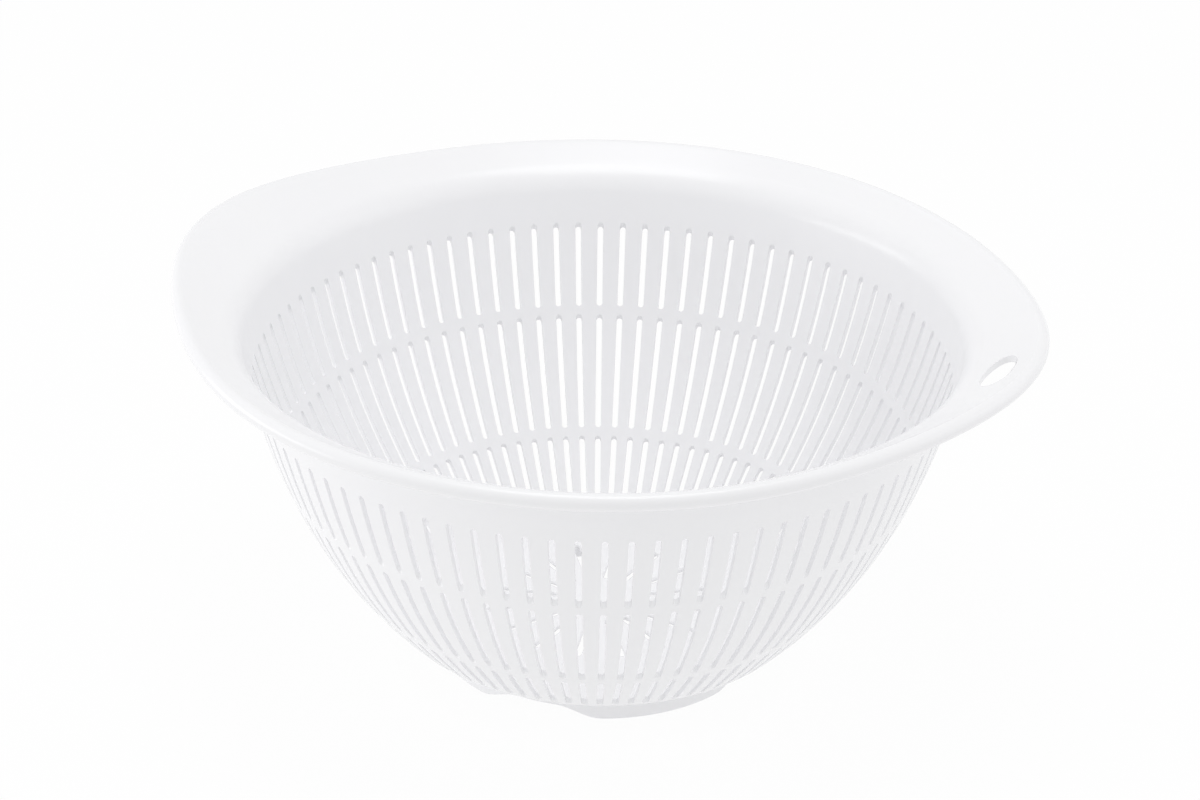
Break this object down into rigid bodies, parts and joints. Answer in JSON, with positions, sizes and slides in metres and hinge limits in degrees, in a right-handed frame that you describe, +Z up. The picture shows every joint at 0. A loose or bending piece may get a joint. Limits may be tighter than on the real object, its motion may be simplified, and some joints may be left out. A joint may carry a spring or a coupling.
{
  "type": "colander",
  "caption": "Round plastic colander basket with rows of upright drain slots in its curved wall, a flared rim drawn out into wing grips, a hanging hole and an arched foot ring.",
  "frame": {"origin": "on the basket's axis, at the plane that the foot ring stands on", "axes": "+Z up along the basket's axis, +X towards the wing with the hanging hole"},
  "size_m": [0.2776, 0.2598, 0.1248],
  "materials": {
    "white_plastic": "soft gloss"
  },
  "bodies": {
    "root": {"rim_bead": "white_plastic", "rim_collar": "white_plastic", "upper_slot_row": "white_plastic", "middle_slot_row": "white_plastic", "lower_slot_row": "white_plastic", "base_bend": "white_plastic", "floor_grille": "white_plastic", "foot_ring": "white_plastic"}
  },
  "joints": []
}
